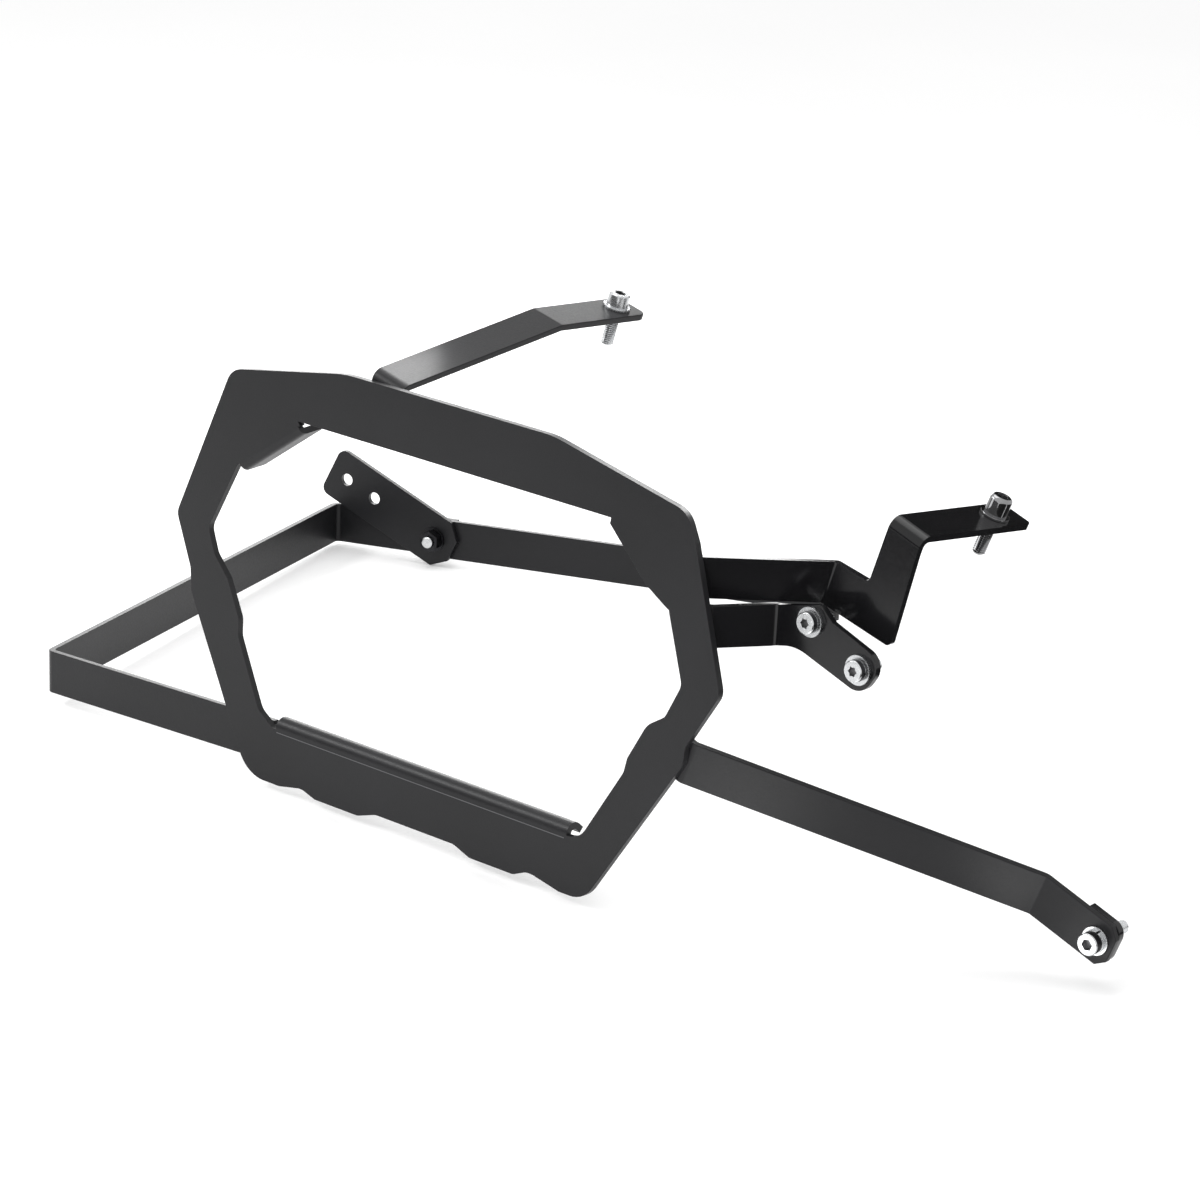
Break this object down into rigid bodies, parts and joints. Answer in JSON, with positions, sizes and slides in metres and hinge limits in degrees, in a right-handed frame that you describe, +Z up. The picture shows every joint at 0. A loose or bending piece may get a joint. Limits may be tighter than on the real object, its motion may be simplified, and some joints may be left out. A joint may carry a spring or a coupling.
{
  "type": "pannier frame",
  "caption": "Motorcycle side pannier frame: a contoured sheet ring with folded lips, carried on bent flat-bar struts and brackets, with a rear cross brace.",
  "frame": {"origin": "centre of the carrier plate's outer face", "axes": "+X forward along the motorcycle, +Y inwards from the plate's outer face to the motorcycle, +Z up"},
  "size_m": [0.8812, 0.495, 0.2979],
  "materials": {
    "frame_black": "satin powder coat",
    "bracket_black": "semi-gloss powder coat",
    "zinc_steel": "bright zinc",
    "dark_chrome": "dark chrome",
    "black_steel": "black zinc"
  },
  "bodies": {
    "root": {"carrier_plate": "frame_black", "upper_rear_strut": "frame_black", "lower_front_strut": "frame_black", "rear_brace_right": "frame_black", "rear_brace_left": "frame_black", "tail_bracket": "frame_black", "strut_weld": "frame_black", "bracket_weld": "frame_black", "tab_weld": "frame_black", "lower_weld": "frame_black", "brace_weld": "frame_black", "front_upper_bracket": "bracket_black", "front_tab_bracket": "bracket_black", "lower_spacer": "bracket_black", "upper_rear_bolt": "zinc_steel", "upper_rear_washer": "zinc_steel", "upper_tab_screw": "zinc_steel", "lower_tab_screw": "zinc_steel", "lower_front_bolt": "zinc_steel", "lower_spring_washer": "zinc_steel", "lower_flat_washer": "zinc_steel", "brace_bolt": "zinc_steel", "upper_front_bolt": "dark_chrome", "upper_front_washer": "dark_chrome", "brace_head_washer": "black_steel", "brace_nut_washer": "black_steel", "brace_nut": "black_steel"}
  },
  "joints": []
}
